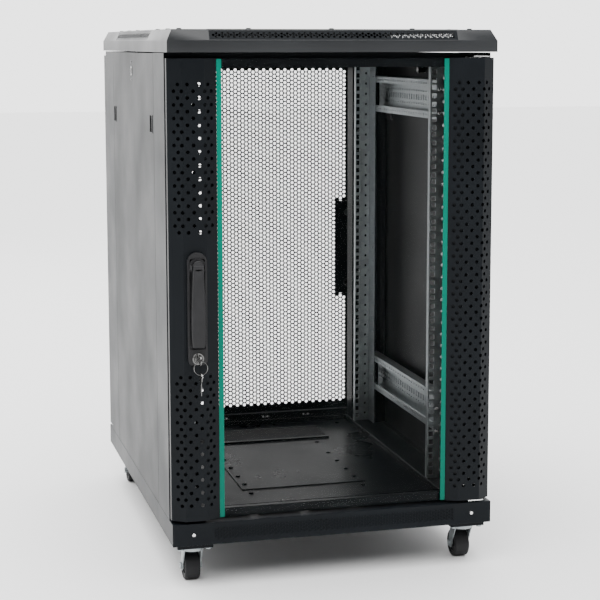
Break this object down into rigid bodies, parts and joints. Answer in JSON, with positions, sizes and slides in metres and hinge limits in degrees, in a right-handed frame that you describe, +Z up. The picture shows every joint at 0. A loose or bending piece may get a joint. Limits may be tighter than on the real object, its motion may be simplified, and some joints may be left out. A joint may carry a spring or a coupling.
{
  "type": "network server rack cabinet",
  "caption": "Free-standing network rack cabinet on casters: glass front door between perforated columns, perforated rear door, lift-off sides and inner mounting rails.",
  "frame": {"origin": "on the floor, under the middle of the bounding box, which takes in the handles and the key ring", "axes": "+Z up; -Y out of the glass front door; +X to the right when looking at the glass door"},
  "size_m": [0.6, 0.8654, 0.988],
  "materials": {
    "black_paint": "fine-textured satin black powder coat",
    "grey_paint": "fine-textured satin black powder coat, seen paler under light",
    "zinc": "zinc-plated, dull",
    "chrome": "bright plated",
    "glass": "clear toughened",
    "green": "satin edge stripe",
    "black_plastic": "satin moulded",
    "tread": "hard black wheel"
  },
  "bodies": {
    "cabinet": {"base_frame": "black_paint", "bottom_panel": "black_paint", "front_frame": "black_paint", "rear_frame": "black_paint", "top_cover": "black_paint", "caster_mount_front_left": "black_paint", "caster_mount_front_right": "black_paint", "caster_mount_rear_left": "black_paint", "caster_mount_rear_right": "black_paint", "mounting_rail_front_left": "zinc", "mounting_rail_front_right": "zinc", "mounting_rail_rear_left": "zinc", "mounting_rail_rear_right": "zinc", "depth_rail_upper_left": "zinc", "depth_rail_upper_right": "zinc", "depth_rail_lower_left": "zinc", "depth_rail_lower_right": "zinc", "front_hinge_top": "zinc", "front_hinge_bottom": "zinc", "rear_hinge_top": "zinc", "rear_hinge_bottom": "zinc", "fan_housing_left": "black_plastic", "fan_housing_right": "black_plastic", "fan_guard_left": "chrome", "fan_guard_right": "chrome"},
    "front_door": {"door_column_left": "black_paint", "door_column_right": "black_paint", "door_inner_frame": "black_paint", "glass_pane": "glass", "glass_stripe_left": "green", "glass_stripe_right": "green", "front_handle_housing": "black_plastic"},
    "front_handle_hub": {"front_handle_hub": "zinc"},
    "front_handle_lever": {"front_handle_lever": "black_plastic"},
    "front_lock_plug": {"front_lock_plug": "chrome", "key": "chrome"},
    "key_ring": {"key_ring": "chrome"},
    "rear_door": {"rear_door": "black_paint", "rear_handle_housing": "black_plastic"},
    "rear_handle_hub": {"rear_handle_hub": "zinc"},
    "rear_handle_lever": {"rear_handle_lever": "black_plastic"},
    "rear_lock_plug": {"rear_lock_plug": "chrome"},
    "side_panel_left": {"side_panel_left": "grey_paint"},
    "side_panel_right": {"side_panel_right": "grey_paint"},
    "side_latch_front_left": {"side_latch_front_left": "grey_paint"},
    "side_latch_front_right": {"side_latch_front_right": "grey_paint"},
    "side_latch_rear_left": {"side_latch_rear_left": "grey_paint"},
    "side_latch_rear_right": {"side_latch_rear_right": "grey_paint"},
    "caster_fork_front_left": {"caster_fork_front_left": "zinc"},
    "caster_fork_front_right": {"caster_fork_front_right": "zinc"},
    "caster_fork_rear_left": {"caster_fork_rear_left": "zinc"},
    "caster_fork_rear_right": {"caster_fork_rear_right": "zinc"},
    "caster_wheel_front_left": {"caster_wheel_front_left": "tread"},
    "caster_wheel_front_right": {"caster_wheel_front_right": "tread"},
    "caster_wheel_rear_left": {"caster_wheel_rear_left": "tread"},
    "caster_wheel_rear_right": {"caster_wheel_rear_right": "tread"},
    "fan_rotor_left": {"fan_rotor_left": "black_plastic"},
    "fan_rotor_right": {"fan_rotor_right": "black_plastic"},
    "side_lock_left": {"side_lock_left": "chrome"},
    "side_lock_right": {"side_lock_right": "chrome"}
  },
  "joints": [
    {"name": "front_door_hinge", "type": "hinge", "parent": "cabinet", "child": "front_door", "pos_m": [0.272, -0.37025, 0.123], "axis": [0, 0, 1], "range_deg": [0, 130]},
    {"name": "front_handle_turn", "type": "hinge", "parent": "front_door", "child": "front_handle_hub", "pos_m": [-0.253, -0.39025, 0.58], "axis": [0, 1, 0], "range_deg": [0, 90]},
    {"name": "front_lever_lift", "type": "hinge", "parent": "front_handle_hub", "child": "front_handle_lever", "pos_m": [-0.253, -0.40775, 0.58], "axis": [-1, 0, 0], "range_deg": [0, 30]},
    {"name": "front_lock_turn", "type": "hinge", "parent": "front_door", "child": "front_lock_plug", "pos_m": [-0.253, -0.39025, 0.418], "axis": [0, 1, 0], "range_deg": [0, 90]},
    {"name": "key_ring_swing", "type": "hinge", "parent": "front_lock_plug", "child": "key_ring", "pos_m": [-0.253, -0.42325, 0.418], "axis": [-1, 0, 0], "range_deg": [-15, 60]},
    {"name": "rear_door_hinge", "type": "hinge", "parent": "cabinet", "child": "rear_door", "pos_m": [-0.286, 0.39575, 0.123], "axis": [0, 0, 1], "range_deg": [0, 130]},
    {"name": "rear_handle_turn", "type": "hinge", "parent": "rear_door", "child": "rear_handle_hub", "pos_m": [0.253, 0.40975, 0.58], "axis": [0, -1, 0], "range_deg": [0, 90]},
    {"name": "rear_lever_lift", "type": "hinge", "parent": "rear_handle_hub", "child": "rear_handle_lever", "pos_m": [0.253, 0.42725, 0.58], "axis": [1, 0, 0], "range_deg": [0, 30]},
    {"name": "rear_lock_turn", "type": "hinge", "parent": "rear_door", "child": "rear_lock_plug", "pos_m": [0.253, 0.40975, 0.418], "axis": [0, -1, 0], "range_deg": [0, 90]},
    {"name": "side_panel_tilt_left", "type": "hinge", "parent": "cabinet", "child": "side_panel_left", "pos_m": [-0.3, 0.00975, 0.119], "axis": [0, -1, 0], "range_deg": [0, 25]},
    {"name": "side_latch_slide_front_left", "type": "slide", "parent": "side_panel_left", "child": "side_latch_front_left", "axis": [0, 1, 0], "range_m": [0, 0.009], "stiffness_N_per_m": 150},
    {"name": "side_latch_slide_rear_left", "type": "slide", "parent": "side_panel_left", "child": "side_latch_rear_left", "axis": [0, -1, 0], "range_m": [0, 0.009], "stiffness_N_per_m": 150},
    {"name": "side_lock_turn_left", "type": "hinge", "parent": "side_panel_left", "child": "side_lock_left", "pos_m": [-0.3, 0.00975, 0.911], "axis": [-1, 0, 0], "range_deg": [0, 90]},
    {"name": "fan_spin_left", "type": "hinge", "parent": "cabinet", "child": "fan_rotor_left", "pos_m": [-0.08, 0.00975, 0.9662], "axis": [0, 0, 1], "continuous": true},
    {"name": "caster_swivel_front_left", "type": "hinge", "parent": "cabinet", "child": "caster_fork_front_left", "pos_m": [-0.258, -0.34825, 0.066], "axis": [0, 0, 1], "continuous": true},
    {"name": "caster_roll_front_left", "type": "hinge", "parent": "caster_fork_front_left", "child": "caster_wheel_front_left", "pos_m": [-0.258, -0.33125, 0.025], "axis": [1, 0, 0], "continuous": true},
    {"name": "caster_swivel_rear_left", "type": "hinge", "parent": "cabinet", "child": "caster_fork_rear_left", "pos_m": [-0.258, 0.36775, 0.066], "axis": [0, 0, 1], "continuous": true},
    {"name": "caster_roll_rear_left", "type": "hinge", "parent": "caster_fork_rear_left", "child": "caster_wheel_rear_left", "pos_m": [-0.258, 0.35075, 0.025], "axis": [1, 0, 0], "continuous": true},
    {"name": "side_panel_tilt_right", "type": "hinge", "parent": "cabinet", "child": "side_panel_right", "pos_m": [0.3, 0.00975, 0.119], "axis": [0, 1, 0], "range_deg": [0, 25]},
    {"name": "side_latch_slide_front_right", "type": "slide", "parent": "side_panel_right", "child": "side_latch_front_right", "axis": [0, 1, 0], "range_m": [0, 0.009], "stiffness_N_per_m": 150},
    {"name": "side_latch_slide_rear_right", "type": "slide", "parent": "side_panel_right", "child": "side_latch_rear_right", "axis": [0, -1, 0], "range_m": [0, 0.009], "stiffness_N_per_m": 150},
    {"name": "side_lock_turn_right", "type": "hinge", "parent": "side_panel_right", "child": "side_lock_right", "pos_m": [0.3, 0.00975, 0.911], "axis": [1, 0, 0], "range_deg": [0, 90]},
    {"name": "fan_spin_right", "type": "hinge", "parent": "cabinet", "child": "fan_rotor_right", "pos_m": [0.08, 0.00975, 0.9662], "axis": [0, 0, 1], "continuous": true},
    {"name": "caster_swivel_front_right", "type": "hinge", "parent": "cabinet", "child": "caster_fork_front_right", "pos_m": [0.258, -0.34825, 0.066], "axis": [0, 0, 1], "continuous": true},
    {"name": "caster_roll_front_right", "type": "hinge", "parent": "caster_fork_front_right", "child": "caster_wheel_front_right", "pos_m": [0.258, -0.33125, 0.025], "axis": [1, 0, 0], "continuous": true},
    {"name": "caster_swivel_rear_right", "type": "hinge", "parent": "cabinet", "child": "caster_fork_rear_right", "pos_m": [0.258, 0.36775, 0.066], "axis": [0, 0, 1], "continuous": true},
    {"name": "caster_roll_rear_right", "type": "hinge", "parent": "caster_fork_rear_right", "child": "caster_wheel_rear_right", "pos_m": [0.258, 0.35075, 0.025], "axis": [1, 0, 0], "continuous": true}
  ]
}
